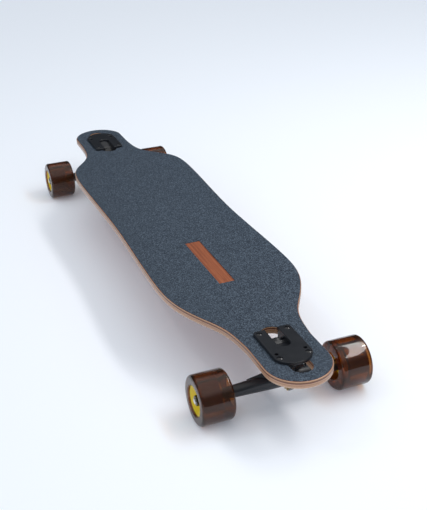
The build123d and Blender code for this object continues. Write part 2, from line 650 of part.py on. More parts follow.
def ball_places():
    """Where the balls of one wheel's two bearings lie about the axle, before it is laid down."""
    return [
        Pos(0, 0, middle) * Rot(0, 0, 360 / BALL_COUNT * n) * Pos(BALL_PITCH_RADIUS, 0, 0)
        for middle in bearing_middles()
        for n in range(BALL_COUNT)
    ]


def make_balls():
    """The balls of one wheel's two bearings."""
    return on_axle(about_y(group(*[place * Sphere(BALL_RADIUS) for place in ball_places()])))


def make_cages():
    """The ball cages of one wheel: rings with a pocket for each ball."""
    half_width = CAGE_WIDTH / 2
    outer = BALL_PITCH_RADIUS + CAGE_THICKNESS / 2
    inner = BALL_PITCH_RADIUS - CAGE_THICKNESS / 2
    cages = [tube(outer, inner, m - half_width, m + half_width) for m in bearing_middles()]
    drill = Rot(0, 90, 0) * Cylinder(BALL_RADIUS + RUNNING, 4 * CAGE_THICKNESS)
    cages = [cut_all(cage, [place * drill for place in ball_places()]) for cage in cages]
    return on_axle(about_y(group(*cages)))


def cut_all(shape, cutters):
    """Cuts every cutter from a shape, keeping what is left as one ring."""
    for cutter in cutters:
        shape -= cutter
    return shape


# ---- wheel ------------------------------------------------------------------------------------

def make_tyre():
    """The poured urethane tyre around the core, with rounded lips and a dished outer face."""
    points = [
        (WHEEL_RADIUS, WHEEL_INNER_Y),
        (WHEEL_RADIUS, WHEEL_OUTER_Y),
        (DISH_MOUTH_RADIUS, WHEEL_OUTER_Y),
        (DISH_FOOT_RADIUS, DISH_FOOT_Y),
        (CORE_RADIUS, DISH_FOOT_Y),
        (CORE_RADIUS, BEARING_A + CORE_BACK_STEP),
        (BACK_MOUTH_RADIUS, BEARING_A),
        (BACK_MOUTH_RADIUS + BACK_MOUTH_FLARE, WHEEL_INNER_Y),
    ]
    rounds = [(0, WHEEL_LIP), (1, WHEEL_LIP), (2, MOUTH_ROUND), (7, MOUTH_ROUND)]
    return on_axle(spun(points, rounds))


def make_core():
    """The hard core: a sleeve with a bearing seat at each end and a dished outer face."""
    shoulder = BEARING_OUTER_RADIUS - CORE_SHOULDER
    outer_face = BEARING_B + BEARING_WIDTH
    points = [
        (CORE_RADIUS, BEARING_A + CORE_BACK_STEP),
        (CORE_RADIUS, DISH_FOOT_Y),
        (BEARING_SEAT_RADIUS + CORE_RIM, outer_face),
        (BEARING_SEAT_RADIUS, outer_face),
        (BEARING_SEAT_RADIUS, BEARING_B),
        (shoulder, BEARING_B),
        (shoulder, BEARING_A + BEARING_WIDTH),
        (BEARING_SEAT_RADIUS, BEARING_A + BEARING_WIDTH),
        (BEARING_SEAT_RADIUS, BEARING_A),
        (BACK_MOUTH_RADIUS, BEARING_A),
    ]
    return on_axle(spun(points))


# ---- deck hardware --------------------------------------------------------------------------------

def make_deck_bolts():
    """The four raised countersunk screws of one truck, with a cross recess."""
    dome_radius = (SCREW_HEAD_RADIUS ** 2 + SCREW_HEAD_RISE ** 2) / (2 * SCREW_HEAD_RISE)
    dome = Pos(0, 0, PLATE_TOP + SCREW_HEAD_RISE - dome_radius) * Sphere(dome_radius)
    dome &= rod(SCREW_HEAD_RADIUS, PLATE_TOP, PLATE_TOP + 2 * SCREW_HEAD_RISE)
    sunk = Cone(
        SCREW_RADIUS, SCREW_HEAD_RADIUS, SCREW_SINK, align=(Align.CENTER, Align.CENTER, Align.MAX)
    )
    tip = DECK_UNDER - SCREW_NUT_HEIGHT - SCREW_TIP
    screw = rod(SCREW_RADIUS, tip, PLATE_TOP) + Pos(0, 0, PLATE_TOP) * sunk + dome
    top = PLATE_TOP + SCREW_HEAD_RISE
    for turn in (0, 90):
        slot = Rot(0, 0, turn) * Box(CROSS_LENGTH, CROSS_WIDTH, 2 * CROSS_DEPTH)
        screw -= Pos(0, 0, top) * slot
    return group(*[Pos(x, y, 0) * screw for x, y in screw_places()])


def make_deck_nuts():
    """The four lock nuts under the deck."""
    low = DECK_UNDER - SCREW_NUT_HEIGHT
    nut = hexagon(SCREW_NUT_FLATS, low, DECK_UNDER, SCREW_NUT_CHAMFER)
    nut -= rod(SCREW_RADIUS + SHAFT_CLEARANCE, low - PAST, DECK_UNDER + PAST)
    return group(*[Pos(x, y, 0) * nut for x, y in screw_places()])


# ---- writing the pieces --------------------------------------------------------------------------

def truck_pieces():
    """Every piece of the front truck but its wheels."""
    return {
        "baseplate": make_baseplate(),
        "deck_bolts": make_deck_bolts(),
        "deck_nuts": make_deck_nuts(),
        "kingpin": make_kingpin(),
        "kingpin_nut": make_kingpin_nut(),
        "boardside_bushing": make_bushing(-1),
        "roadside_bushing": make_bushing(1),
        "bushing_washers": make_bushing_washers(),
        "pivot_cup": make_pivot_cup(),
        "hanger": make_hanger(),
        "axle": make_axle(),
        "axle_nuts": make_axle_nuts(),
        "speed_washers": make_speed_washers(),
        "bearing_spacers": make_bearing_spacers(),
        "bearing_inner_rings": make_inner_rings(),
    }


def wheel_pieces():
    """Every turning piece of the front left wheel."""
    return {
        "tyre": make_tyre(),
        "core": make_core(),
        "bearing_outer_rings": make_outer_rings(),
        "bearing_shields": make_shields(),
        "bearing_balls": make_balls(),
        "bearing_cages": make_cages(),
    }


def main():
    os.makedirs("parts", exist_ok=True)
    export_step(make_deck(), "parts/deck.step")
    export_step(make_tape(), "parts/grip_tape.step")
    for name, piece in truck_pieces().items():
        export_step(piece, f"parts/front_{name}.step")
        export_step(to_rear(piece), f"parts/rear_{name}.step")
    for name, piece in wheel_pieces().items():
        export_step(piece, f"parts/front_left_{name}.step")
        export_step(to_right(piece), f"parts/front_right_{name}.step")
        export_step(to_rear(to_right(piece)), f"parts/rear_left_{name}.step")
        export_step(to_rear(piece), f"parts/rear_right_{name}.step")


main()
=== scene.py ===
import math
import bmesh
import bpy
import numpy
from mathutils import Matrix, Quaternion, Vector


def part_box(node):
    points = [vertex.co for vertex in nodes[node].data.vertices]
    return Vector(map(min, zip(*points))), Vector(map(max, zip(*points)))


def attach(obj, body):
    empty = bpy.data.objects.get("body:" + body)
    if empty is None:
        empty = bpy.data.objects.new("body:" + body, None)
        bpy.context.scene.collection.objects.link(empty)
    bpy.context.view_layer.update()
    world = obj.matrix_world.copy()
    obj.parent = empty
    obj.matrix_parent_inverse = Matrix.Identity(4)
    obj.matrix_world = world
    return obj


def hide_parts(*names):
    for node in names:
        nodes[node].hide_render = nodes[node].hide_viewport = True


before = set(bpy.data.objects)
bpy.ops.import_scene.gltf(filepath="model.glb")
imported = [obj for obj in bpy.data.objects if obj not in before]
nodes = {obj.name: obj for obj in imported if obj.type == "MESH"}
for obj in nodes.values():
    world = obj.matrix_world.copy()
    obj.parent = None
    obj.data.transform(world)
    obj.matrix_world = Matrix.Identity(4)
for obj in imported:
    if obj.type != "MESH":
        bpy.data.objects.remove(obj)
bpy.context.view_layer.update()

# ---- camera -----------------------------------------------------------------------------
# A fairly long lens looks down the board from beyond the nose, a little to its right,
# from about three quarters of a metre above the floor.

CAMERA_TARGET = Vector((0.15173, 0.01029, 0.0998))
CAMERA_DISTANCE = 1.45587
CAMERA_AZIMUTH, CAMERA_ELEVATION, CAMERA_ROLL = (math.radians(a) for a in (68.597, 27.061, -1.472))
CAMERA_LENS = 66.2

towards_camera = Vector((
    math.sin(CAMERA_AZIMUTH) * math.cos(CAMERA_ELEVATION),
    -math.cos(CAMERA_AZIMUTH) * math.cos(CAMERA_ELEVATION),
    math.sin(CAMERA_ELEVATION),
))
camera = bpy.data.objects.new("camera", bpy.data.cameras.new("camera"))
camera.data.lens = CAMERA_LENS
camera.data.sensor_width = 36
camera.data.clip_end = 50
camera.location = CAMERA_TARGET + towards_camera * CAMERA_DISTANCE
camera.rotation_mode = "QUATERNION"
roll = Quaternion((0, 0, 1), CAMERA_ROLL)
camera.rotation_quaternion = towards_camera.to_track_quat("Z", "Y") @ roll
bpy.context.scene.collection.objects.link(camera)
bpy.context.scene.camera = camera
bpy.context.scene.view_settings.view_transform = "Standard"

# ---- studio -----------------------------------------------------------------------------
# A pale seamless floor under an overhead scrim, with a bright wall in front and a dim one
# behind. A long softbox stands over the board's left side, and two small flashes give each
# screw and lip its bright points.


def new_material(name):
    """An empty node material with its output and one Principled BSDF."""
    made = bpy.data.materials.new(name)
    made.use_nodes = True
    tree = made.node_tree
    shader = tree.nodes["Principled BSDF"]
    return made, tree, shader


def softbox(name, place, aim, width, height, power, colour):
    """An area light at a place, turned to a point."""
    light = bpy.data.lights.new(name, "AREA")
    light.shape = "RECTANGLE"
    light.size, light.size_y = width, height
    light.energy = power
    light.color = colour
    lamp = bpy.data.objects.new(name, light)
    lamp.location = place
    lamp.rotation_euler = (Vector(aim) - Vector(place)).to_track_quat("-Z", "Y").to_euler()
    bpy.context.scene.collection.objects.link(lamp)
    return lamp


def math_node(tree, operation, first, second=None, third=None):
    """A maths node; each input is a number or another node's output."""
    node = tree.nodes.new("ShaderNodeMath")
    node.operation = operation
    for index, value in enumerate((first, second, third)):
        if value is None:
            continue
        if isinstance(value, (int, float)):
            node.inputs[index].default_value = value
        else:
            tree.links.new(value, node.inputs[index])
    return node.outputs[0]


def mix_colours(tree, factor, first, second, blend="MIX"):
    """A colour mix; the factor and both colours are values or outputs."""
    node = tree.nodes.new("ShaderNodeMix")
    node.data_type = "RGBA"
    node.blend_type = blend
    sockets = (node.inputs["Factor"], node.inputs[6], node.inputs[7])
    for socket, value in zip(sockets, (factor, first, second)):
        if isinstance(value, (int, float)):
            socket.default_value = value
        elif isinstance(value, tuple):
            socket.default_value = (*value, 1)
        else:
            tree.links.new(value, socket)
    return node.outputs[2]


def map_range(tree, value, start, end, low, high, interpolation="LINEAR"):
    """A value carried from one range to another."""
    node = tree.nodes.new("ShaderNodeMapRange")
    node.interpolation_type = interpolation
    for name, number in (("From Min", start), ("From Max", end), ("To Min", low), ("To Max", high)):
        node.inputs[name].default_value = number
    tree.links.new(value, node.inputs["Value"])
    return node.outputs["Result"]


SCRIM_EDGE, SCRIM_FULL, SCRIM_STRENGTH = 0.5, 0.85, 0.8
FRONT = (0.72, -0.69, 0.0)
WALL_BEHIND, WALL_IN_FRONT = 0.3, 1.1
WALL_FADE_START, WALL_FADE_END = -0.35, 0.6
WALL_IN_REFLECTIONS = 0.15
WALL_TINT, SCRIM_TINT = (0.86, 1.0, 1.16), (1.12, 1.13, 1.14)


def light_room():
    """The room as a world; glossy surfaces see its walls darker than matt ones do."""
    room = bpy.data.worlds.new("room")
    room.use_nodes = True
    tree = room.node_tree
    background = tree.nodes["Background"]
    direction = tree.nodes.new("ShaderNodeTexCoord").outputs["Generated"]
    parts = tree.nodes.new("ShaderNodeSeparateXYZ")
    tree.links.new(direction, parts.inputs["Vector"])
    scrim = map_range(tree, parts.outputs["Z"], SCRIM_EDGE, SCRIM_FULL, 0, 1, "SMOOTHSTEP")
    front = tree.nodes.new("ShaderNodeVectorMath")
    front.operation = "DOT_PRODUCT"
    front.inputs[1].default_value = FRONT
    tree.links.new(direction, front.inputs[0])
    wall = map_range(
        tree, front.outputs["Value"], WALL_FADE_START, WALL_FADE_END,
        WALL_BEHIND, WALL_IN_FRONT, "SMOOTHSTEP",
    )
    glossy = tree.nodes.new("ShaderNodeLightPath").outputs["Is Glossy Ray"]
    wall = math_node(tree, "MULTIPLY", wall, map_range(tree, glossy, 0, 1, 1, WALL_IN_REFLECTIONS))
    strength = tree.nodes.new("ShaderNodeMix")
    tree.links.new(scrim, strength.inputs["Factor"])
    tree.links.new(wall, strength.inputs[2])
    strength.inputs[3].default_value = SCRIM_STRENGTH
    tree.links.new(strength.outputs[0], background.inputs["Strength"])
    tree.links.new(mix_colours(tree, scrim, WALL_TINT, SCRIM_TINT), background.inputs["Color"])
    return room


bpy.context.scene.world = light_room()

FLASH_AIM, FLASH_SIDE, FLASH_POWER = (0.4, 0.0, 0.1), 0.1, 2.4
WHITE, WARM_WHITE = (1.0, 1.0, 1.0), (1.0, 0.985, 0.97)

softbox("overhead_softbox", (0.56, 0.90, 1.53), (0.56, 0.90, 0.0), 1.85, 0.3, 14, WARM_WHITE)
for flash, place in (("left_flash", (-0.5, -1.1, 2.3)), ("right_flash", (0.35, 1.6, 2.5))):
    softbox(flash, place, FLASH_AIM, FLASH_SIDE, FLASH_SIDE, FLASH_POWER, WHITE)

FLOOR_HALF = 9.0
FLOOR_COLOUR, FLOOR_GLOW_COLOUR, FLOOR_GLOW = (0.87, 0.89, 0.93, 1), (0.9, 0.95, 1.0, 1), 0.06
floor_mesh = bpy.data.meshes.new("floor")
floor_mesh.from_pydata(
    [(x, y, 0) for x, y in ((-1, -1), (1, -1), (1, 1), (-1, 1))], [], [(0, 1, 2, 3)]
)
floor_mesh.transform(Matrix.Scale(FLOOR_HALF, 4))
floor = bpy.data.objects.new("floor", floor_mesh)
bpy.context.scene.collection.objects.link(floor)
floor_paper, _, paper_shader = new_material("floor_paper")
paper_shader.inputs["Base Color"].default_value = FLOOR_COLOUR
paper_shader.inputs["Roughness"].default_value = 0.6
paper_shader.inputs["Specular IOR Level"].default_value = 0.2
paper_shader.inputs["Emission Color"].default_value = FLOOR_GLOW_COLOUR
paper_shader.inputs["Emission Strength"].default_value = FLOOR_GLOW
floor_mesh.materials.append(floor_paper)

# ---- deck -------------------------------------------------------------------------------
# The board is pressed from thin maple plies under a mahogany-coloured top veneer, cut to
# its outline and rounded over at the rim, then clear coated. It is a loft of the pressed
# section along the outline, with the truck openings and screw holes cut through.

RIM_ROUND = 0.0017
RIM_STEPS = 5
ROW_POINTS = 30
NOSE_ROWS = 26
PLATFORM_ROWS = 170
DECK_FLAT_HALF = 0.028
CONCAVE_RADIUS = 0.28617
DECK_THICKNESS = 0.0105

NOSE_RADIUS = 0.047
EASING_PASSES = 3
STEEPEST_RIM_NORMAL = 0.2
OPENINGS_HALF_WIDTH, OPENINGS_END = 0.0245, 0.4905

deck_low, deck_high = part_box("deck")
DECK_UNDER = deck_low[2]
DECK_TOP = DECK_UNDER + DECK_THICKNESS
DECK_HALF_LENGTH = deck_high[0]


def concave_rise(y, radius):
    """How far a ply stands above its flat middle at a distance from the centre line."""
    beyond = max(abs(y) - DECK_FLAT_HALF, 0)
    return radius - math.sqrt(radius * radius - beyond * beyond)


def rim_profile():
    """The board's half-width at each place along it, read from the rim of the CAD deck."""
    mesh = bmesh.new()
    mesh.from_mesh(nodes["deck"].data)
    bmesh.ops.remove_doubles(mesh, verts=mesh.verts, dist=1e-6)
    mesh.normal_update()
    rim = set()
    for face in mesh.faces:
        if abs(face.normal.z) < STEEPEST_RIM_NORMAL:
            for v in face.verts:
                outside = abs(v.co.y) > OPENINGS_HALF_WIDTH or abs(v.co.x) > OPENINGS_END
                if outside and v.co.y >= 0:
                    rim.add((round(v.co.x, 6), round(v.co.y, 6)))
    mesh.free()
    rim = numpy.array(sorted(rim))
    return rim[:, 0], rim[:, 1]


def outline_stations():
    """Points of the left rim from tail to nose, each with its outward direction."""
    rim_x, rim_y = rim_profile()
    neck_end = DECK_HALF_LENGTH - NOSE_RADIUS
    points = []
    for n in range(NOSE_ROWS + 1):
        angle = math.pi / 2 * n / NOSE_ROWS
        points.append((-neck_end - NOSE_RADIUS * math.cos(angle), NOSE_RADIUS * math.sin(angle)))
    for n in range(1, PLATFORM_ROWS):
        x = -neck_end + 2 * neck_end * n / PLATFORM_ROWS
        points.append((x, float(numpy.interp(x, rim_x, rim_y))))
    points += [(-x, y) for x, y in reversed(points[:NOSE_ROWS + 1])]
    smooth = [y for _, y in points]
    for _ in range(EASING_PASSES):
        inner = range(NOSE_ROWS + 2, len(points) - NOSE_ROWS - 2)
        eased = {n: (smooth[n - 1] + 2 * smooth[n] + smooth[n + 1]) / 4 for n in inner}
        for n, y in eased.items():
            smooth[n] = y
    points = [(x, y) for (x, _), y in zip(points, smooth)]
    stations = []
    for n, (x, y) in enumerate(points):
        before = points[n - 1] if n else (points[0][0], -points[1][1])
        after = points[n + 1] if n + 1 < len(points) else (points[-1][0], -points[-2][1])
        along = Vector((after[0] - before[0], after[1] - before[1]))
        if n == 0:
            along = Vector((0, 1))
        if n + 1 == len(points):
            along = Vector((0, -1))
        along.normalize()
        stations.append((x, y, -along.y, along.x))
    return stations


def lofted_board(name, stations, inset, low, high, rounding, steps):
    """A closed sheet of the board between two levels, its rim rounded over."""
    mesh = bmesh.new()
    loops = []
    turns = [math.pi / 2 * n / steps for n in range(steps + 1)]
    for x, y, out_x, out_y in stations:

        def place(back, level, side, share=1.0):
            px = x - out_x * back
            py = (y - out_y * back) * side * share
            radius = CONCAVE_RADIUS + DECK_TOP - level
            return mesh.verts.new((px, py, level + concave_rise(py, radius)))

        rim = [
            (inset + rounding * (1 - math.sin(t)), high - rounding * (1 - math.cos(t)))
            for t in turns
        ]
        under = [(back, low + high - level) for back, level in reversed(rim)]
        across = [1 - 2 * n / ROW_POINTS for n in range(ROW_POINTS + 1)]
        back = inset + rounding
        ring = [place(back, high, 1, share) for share in reversed(across)]
        ring += [place(b, level, 1) for b, level in rim[1:] + under[:-1]]
        ring += [place(back, low, 1, share) for share in across]
        ring += [place(b, level, -1) for b, level in reversed(rim[1:] + under[:-1])]
        loops.append(ring)
    count = len(loops[0])
    for one, two in zip(loops, loops[1:]):
        for n in range(count):
            after = (n + 1) % count
            mesh.faces.new((one[n], one[after], two[after], two[n]))
    bmesh.ops.remove_doubles(mesh, verts=mesh.verts, dist=2e-6)
    bmesh.ops.dissolve_degenerate(mesh, edges=mesh.edges, dist=1e-7)
    bmesh.ops.recalc_face_normals(mesh, faces=mesh.faces)
    data = bpy.data.meshes.new(name)
    mesh.to_mesh(data)
    mesh.free()
    return data


def cylinder_mesh(mesh, x, y, radius, low, high, sides=40):
    """Adds an upright cutter to a bmesh."""
    made = bmesh.ops.create_cone(
        mesh, cap_ends=True, segments=sides, radius1=radius, radius2=radius, depth=high - low
    )
    bmesh.ops.translate(mesh, verts=made["verts"], vec=(x, y, (low + high) / 2))


def obround_mesh(mesh, start_x, end_x, half_width, low, high, steps=24):
    """Adds an upright slot-shaped cutter to a bmesh."""
    outline = []
    for centre_x, first in ((end_x - half_width, -90), (start_x + half_width, 90)):
        for n in range(steps + 1):
            turn = math.radians(first + 180 * n / steps)
            outline.append((centre_x + half_width * math.cos(turn), half_width * math.sin(turn)))
    bottom = [mesh.verts.new((x, y, low)) for x, y in outline]
    top = [mesh.verts.new((x, y, high)) for x, y in outline]
    mesh.faces.new(list(reversed(bottom)))
    mesh.faces.new(top)
    for n in range(len(outline)):
        after = (n + 1) % len(outline)
        mesh.faces.new((bottom[n], bottom[after], top[after], top[n]))


def scene_object(name, data):
    """A new object in the scene for a mesh."""
    made = bpy.data.objects.new(name, data)
    bpy.context.scene.collection.objects.link(made)
    return made


def cut_away(data, name, build_cutter):
    """The mesh with the cutter's volume removed."""
    body = scene_object(name, data)
    mesh = bmesh.new()
    build_cutter(mesh)
    cutter_data = bpy.data.meshes.new(name + "_cutter")
    mesh.to_mesh(cutter_data)
    mesh.free()
    cutter = scene_object(name + "_cutter", cutter_data)
    boolean = body.modifiers.new("openings", "BOOLEAN")
    boolean.operation = "DIFFERENCE"
    boolean.solver = "EXACT"
    boolean.object = cutter
    depsgraph = bpy.context.evaluated_depsgraph_get()
    result = bpy.data.meshes.new_from_object(body.evaluated_get(depsgraph))
    bpy.data.objects.remove(body)
    bpy.data.objects.remove(cutter)
    return result


def smooth_by_angle(data, degrees=35):
    """Shades a mesh smooth with sharp edges where its faces turn by more than an angle."""
    data.polygons.foreach_set("use_smooth", [True] * len(data.polygons))
    data.set_sharp_from_angle(angle=math.radians(degrees))


CUTOUT_INNER, CUTOUT_OUTER, CUTOUT_HALF = 0.3705, 0.4895, 0.0155
SCREW_ROW_X = (0.38955, 0.443525, 0.45305)
SCREW_Y = 0.0206375
SCREW_HOLE = 0.0027


def deck_openings(mesh):
    """The cutters of both truck openings and of every screw hole."""
    low, high = DECK_UNDER - 0.01, DECK_TOP + 0.01
    obround_mesh(mesh, CUTOUT_INNER, CUTOUT_OUTER, CUTOUT_HALF, low, high)
    obround_mesh(mesh, -CUTOUT_OUTER, -CUTOUT_INNER, CUTOUT_HALF, low, high)
    for x in SCREW_ROW_X:
        for end in (-1, 1):
            for side in (-1, 1):
                cylinder_mesh(mesh, end * x, side * SCREW_Y, SCREW_HOLE, low, high, 24)


board_data = lofted_board(
    "deck_board", outline_stations(), 0.0, DECK_UNDER, DECK_TOP, RIM_ROUND, RIM_STEPS
)
board_data = cut_away(board_data, "deck_board", deck_openings)
smooth_by_angle(board_data)
deck_board = scene_object("deck_board", board_data)


def shader_group(name, inputs, outputs):
    """An empty shader node group with named sockets, given as (name, type, default)."""
    group = bpy.data.node_groups.new(name, "ShaderNodeTree")
    for socket, kind, value in inputs:
        made = group.interface.new_socket(socket, in_out="INPUT", socket_type=kind)
        made.default_value = value
    for socket, kind in outputs:
        group.interface.new_socket(socket, in_out="OUTPUT", socket_type=kind)
    entry, leave = group.nodes.new("NodeGroupInput"), group.nodes.new("NodeGroupOutput")
    return group, entry, leave


def make_wood_grain():
    """Long wood grain along X: a fine streak value and a bump height."""
    group, entry, leave = shader_group(
        "wood_grain",
        [("Vector", "NodeSocketVector", (0, 0, 0)), ("Fineness", "NodeSocketFloat", 1.0)],
        [("Streak", "NodeSocketFloat"), ("Height", "NodeSocketFloat")],
    )
    stretch = group.nodes.new("ShaderNodeMapping")
    stretch.inputs["Scale"].default_value = (6, 260, 260)
    group.links.new(entry.outputs["Vector"], stretch.inputs["Vector"])
    streaks = group.nodes.new("ShaderNodeTexNoise")
    streaks.inputs["Detail"].default_value = 5
    streaks.inputs["Roughness"].default_value = 0.6
    streaks.inputs["Distortion"].default_value = 0.4
    group.links.new(stretch.outputs["Vector"], streaks.inputs["Vector"])
    group.links.new(entry.outputs["Fineness"], streaks.inputs["Scale"])
    pores = group.nodes.new("ShaderNodeMapping")
    pores.inputs["Scale"].default_value = (60, 2400, 2400)
    group.links.new(entry.outputs["Vector"], pores.inputs["Vector"])
    fine = group.nodes.new("ShaderNodeTexNoise")
    fine.inputs["Detail"].default_value = 2
    group.links.new(pores.outputs["Vector"], fine.inputs["Vector"])
    group.links.new(entry.outputs["Fineness"], fine.inputs["Scale"])
    streak = math_node(group, "MULTIPLY_ADD", fine.outputs["Fac"], 0.35, streaks.outputs["Fac"])
    group.links.new(math_node(group, "SUBTRACT", streak, 0.17), leave.inputs["Streak"])
    group.links.new(fine.outputs["Fac"], leave.inputs["Height"])
    return group


wood_grain = make_wood_grain()


def place_group(tree, group, **values):
    """Puts a node group in a material, with values or outputs for its named inputs."""
    node = tree.nodes.new("ShaderNodeGroup")
    node.node_tree = group
    for name, value in values.items():
        socket = node.inputs[name.replace("_", " ")]
        if isinstance(value, (int, float)):
            socket.default_value = value
        else:
            tree.links.new(value, socket)
    return node


def object_coordinates(tree):
    """The piece's own coordinates, in metres."""
    return tree.nodes.new("ShaderNodeTexCoord").outputs["Object"]


def add_bump(tree, shader, height, distance, strength=1.0):
    """Feeds a height into the shader's normal."""
    bump = tree.nodes.new("ShaderNodeBump")
    bump.inputs["Distance"].default_value = distance
    bump.inputs["Strength"].default_value = strength
    tree.links.new(height, bump.inputs["Height"])
    tree.links.new(bump.outputs["Normal"], shader.inputs["Normal"])


def colour_ramp(tree, factor, stops, interpolation="LINEAR"):
    """A ramp through (place, colour) stops."""
    ramp = tree.nodes.new("ShaderNodeValToRGB")
    ramp.color_ramp.interpolation = interpolation
    elements = ramp.color_ramp.elements
    while len(elements) < len(stops):
        elements.new(0.5)
    for element, (where, colour) in zip(elements, stops):
        element.position = where
        element.color = (*colour, 1)
    tree.links.new(factor, ramp.inputs["Fac"])
    return ramp.outputs["Color"]


CREAM_PLY = (0.64, 0.43, 0.29)
TAN_PLY = (0.43, 0.23, 0.12)
PINK_PLY = (0.52, 0.30, 0.19)
BROWN_PLY = (0.13, 0.045, 0.022)
GLUE_LINE = (0.26, 0.13, 0.075)
STAINED_VENEER = (0.285, 0.078, 0.03)
DARK_VENEER = (0.155, 0.04, 0.016)
LIGHT_VENEER = (0.41, 0.13, 0.05)
CONCAVE_CORRECTION = 0.012
FACE_NORMAL, FACE_DEPTH = 0.93, 0.46


def make_plywood():
    """Clear-coated plywood: veneer grain on the faces and stacked plies at every edge."""
    made, tree, shader = new_material("plywood")
    place = object_coordinates(tree)
    parts = tree.nodes.new("ShaderNodeSeparateXYZ")
    tree.links.new(place, parts.inputs["Vector"])
    across = math_node(tree, "ABSOLUTE", parts.outputs["Y"])
    beyond = math_node(tree, "MAXIMUM", math_node(tree, "SUBTRACT", across, DECK_FLAT_HALF), 0.0)
    squared = math_node(tree, "MULTIPLY", beyond, beyond)
    drop = math_node(tree, "DIVIDE", squared, 2 * CONCAVE_RADIUS + CONCAVE_CORRECTION)
    level = math_node(tree, "SUBTRACT", parts.outputs["Z"], drop)
    above = math_node(tree, "SUBTRACT", level, DECK_UNDER)
    depth = math_node(tree, "DIVIDE", above, DECK_THICKNESS)
    plies = colour_ramp(tree, depth, [
        (0.0, CREAM_PLY), (0.19, GLUE_LINE), (0.205, PINK_PLY), (0.37, GLUE_LINE),
        (0.385, TAN_PLY), (0.53, GLUE_LINE), (0.545, PINK_PLY), (0.66, BROWN_PLY),
        (0.86, TAN_PLY), (0.965, CREAM_PLY),
    ], "CONSTANT")
    grain = place_group(tree, wood_grain, Vector=place, Fineness=1.0)
    shade = math_node(tree, "MULTIPLY", grain.outputs["Streak"], 0.45)
    streaked = mix_colours(tree, shade, plies, BROWN_PLY)
    faces = colour_ramp(tree, grain.outputs["Streak"], [
        (0.25, DARK_VENEER), (0.5, STAINED_VENEER), (0.75, LIGHT_VENEER),
    ])
    facing = tree.nodes.new("ShaderNodeNewGeometry")
    direction = tree.nodes.new("ShaderNodeSeparateXYZ")
    tree.links.new(facing.outputs["Normal"], direction.inputs["Vector"])
    upright = math_node(tree, "ABSOLUTE", direction.outputs["Z"])
    from_middle = math_node(tree, "ABSOLUTE", math_node(tree, "SUBTRACT", depth, 0.5))
    on_face = math_node(
        tree, "MULTIPLY", math_node(tree, "GREATER_THAN", upright, FACE_NORMAL),
        math_node(tree, "GREATER_THAN", from_middle, FACE_DEPTH),
    )
    tree.links.new(mix_colours(tree, on_face, streaked, faces), shader.inputs["Base Color"])
    shader.inputs["Roughness"].default_value = 0.42
    shader.inputs["Coat Weight"].default_value = 0.35
    shader.inputs["Coat Roughness"].default_value = 0.2
    add_bump(tree, shader, grain.outputs["Height"], 0.00012, 0.5)
    return made


plywood = make_plywood()
board_data.materials.clear()
board_data.materials.append(plywood)
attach(deck_board, "deck")
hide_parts("deck")

# ---- grip tape --------------------------------------------------------------------------
# A sheet of silicon carbide grit on a fabric backing, stuck over the whole top and cut
# back at the rim, with a bare window near the nose.


def make_grit():
    """Fine abrasive grit: a speckle, a slow mottle and a height."""
    group, entry, leave = shader_group(
        "grit",
        [("Vector", "NodeSocketVector", (0, 0, 0)), ("Grain Size", "NodeSocketFloat", 0.0009)],
        [(value, "NodeSocketFloat") for value in ("Speckle", "Mottle", "Height")],
    )
    rate = math_node(group, "DIVIDE", 1.0, entry.outputs["Grain Size"])
    grains = group.nodes.new("ShaderNodeTexVoronoi")
    group.links.new(entry.outputs["Vector"], grains.inputs["Vector"])
    group.links.new(rate, grains.inputs["Scale"])
    tint = group.nodes.new("ShaderNodeSeparateColor")
    group.links.new(grains.outputs["Color"], tint.inputs["Color"])
    group.links.new(tint.outputs["Red"], leave.inputs["Speckle"])
    mottle = group.nodes.new("ShaderNodeTexNoise")
    mottle.inputs["Scale"].default_value = 420
    mottle.inputs["Detail"].default_value = 4
    mottle.inputs["Roughness"].default_value = 0.7
    group.links.new(entry.outputs["Vector"], mottle.inputs["Vector"])
    group.links.new(mottle.outputs["Fac"], leave.inputs["Mottle"])
    round_grain = math_node(group, "SUBTRACT", 0.6, grains.outputs["Distance"])
    group.links.new(math_node(group, "MULTIPLY", round_grain, math_node(
        group, "ADD", tint.outputs["Green"], 0.4)), leave.inputs["Height"])
    return group


grit = make_grit()


def make_grip():
    """The grit sheet: slate blue-grey with lighter and darker grains."""
    made, tree, shader = new_material("grip_tape")
    grains = place_group(tree, grit, Vector=object_coordinates(tree), Grain_Size=0.0011)
    blend = math_node(tree, "MULTIPLY_ADD", grains.outputs["Speckle"], 0.55, math_node(
        tree, "MULTIPLY", grains.outputs["Mottle"], 0.5))
    colour = colour_ramp(tree, blend, [
        (0.2, (0.012, 0.018, 0.028)), (0.5, (0.030, 0.044, 0.064)), (0.8, (0.105, 0.135, 0.172)),
    ])
    tree.links.new(colour, shader.inputs["Base Color"])
    rough = math_node(tree, "MULTIPLY_ADD", grains.outputs["Speckle"], 0.3, 0.55)
    tree.links.new(rough, shader.inputs["Roughness"])
    shader.inputs["Specular IOR Level"].default_value = 0.3
    add_bump(tree, shader, grains.outputs["Height"], 0.0005, 0.7)
    return made


def finish_node(name, material):
    """Gives a CAD node its material."""
    data = nodes[name].data
    data.materials.clear()
    data.materials.append(material)


finish_node("grip_tape", make_grip())

# ---- truck castings ---------------------------------------------------------------------
# Both baseplates and hangers are cast aluminium with a satin black powder coat, whose
# fine orange peel softens the highlights.


